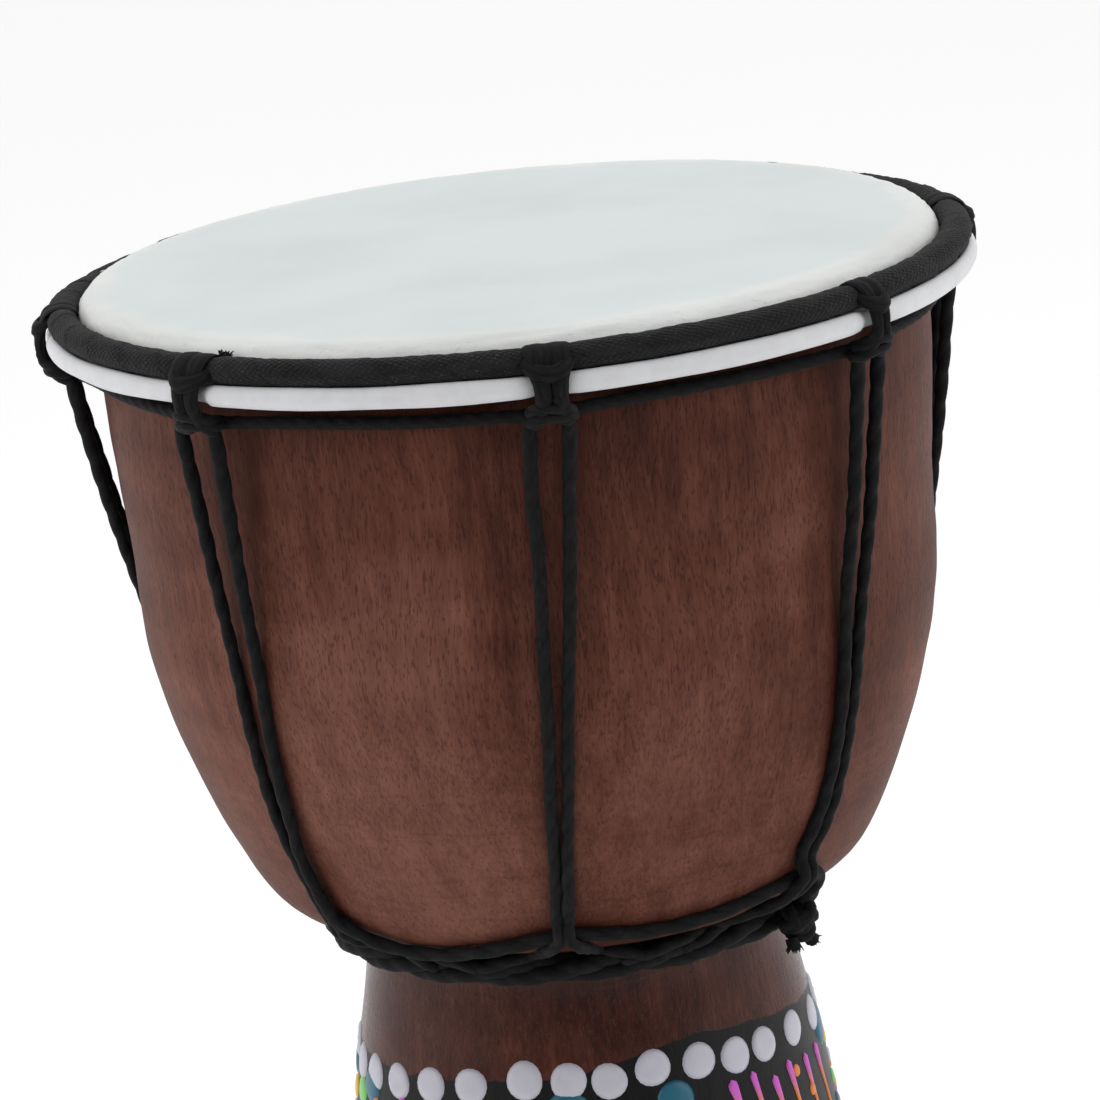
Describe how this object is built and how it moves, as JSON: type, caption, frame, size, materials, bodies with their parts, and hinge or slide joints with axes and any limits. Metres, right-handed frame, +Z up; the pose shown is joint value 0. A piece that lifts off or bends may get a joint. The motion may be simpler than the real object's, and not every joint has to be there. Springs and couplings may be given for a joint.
{
  "type": "djembe",
  "caption": "Small rope-tuned goblet hand drum: carved wooden bowl and flared foot, skin head folded round a hoop, cloth-wound crown ring and paired black tension cords.",
  "frame": {"origin": "centre of the foot's resting face", "axes": "+Z up along the drum's axis towards the playing skin; the first tension pair is 3 degrees from -Y towards +X"},
  "size_m": [0.1067, 0.1072, 0.2],
  "materials": {
    "wood": "satin varnished mahogany with dotted paint on the foot",
    "skin": "shaved pale rawhide, matt",
    "cloth": "black woven cloth strip",
    "cord": "black twisted cord, slightly waxed",
    "steel": "plain round wire"
  },
  "bodies": {
    "root": {"shell": "wood", "drum_skin": "skin", "flesh_hoop": "steel", "crown_ring_core": "steel", "crown_ring_wrap": "cloth", "waist_ring_core": "steel", "waist_ring_wrap": "cloth", "upper_tie_cord": "cord", "waist_tie_cord": "cord", "end_knot": "cord", "knot_tail_a": "cord", "knot_tail_b": "cord", "top_loop_1": "cord", "bottom_loop_1": "cord", "tension_cord_1a": "cord", "tension_cord_1b": "cord", "top_loop_2": "cord", "bottom_loop_2": "cord", "tension_cord_2a": "cord", "tension_cord_2b": "cord", "top_loop_3": "cord", "bottom_loop_3": "cord", "tension_cord_3a": "cord", "tension_cord_3b": "cord", "top_loop_4": "cord", "bottom_loop_4": "cord", "tension_cord_4a": "cord", "tension_cord_4b": "cord", "top_loop_5": "cord", "bottom_loop_5": "cord", "tension_cord_5a": "cord", "tension_cord_5b": "cord", "top_loop_6": "cord", "bottom_loop_6": "cord", "tension_cord_6a": "cord", "tension_cord_6b": "cord", "top_loop_7": "cord", "bottom_loop_7": "cord", "tension_cord_7a": "cord", "tension_cord_7b": "cord", "top_loop_8": "cord", "bottom_loop_8": "cord", "tension_cord_8a": "cord", "tension_cord_8b": "cord"}
  },
  "joints": []
}
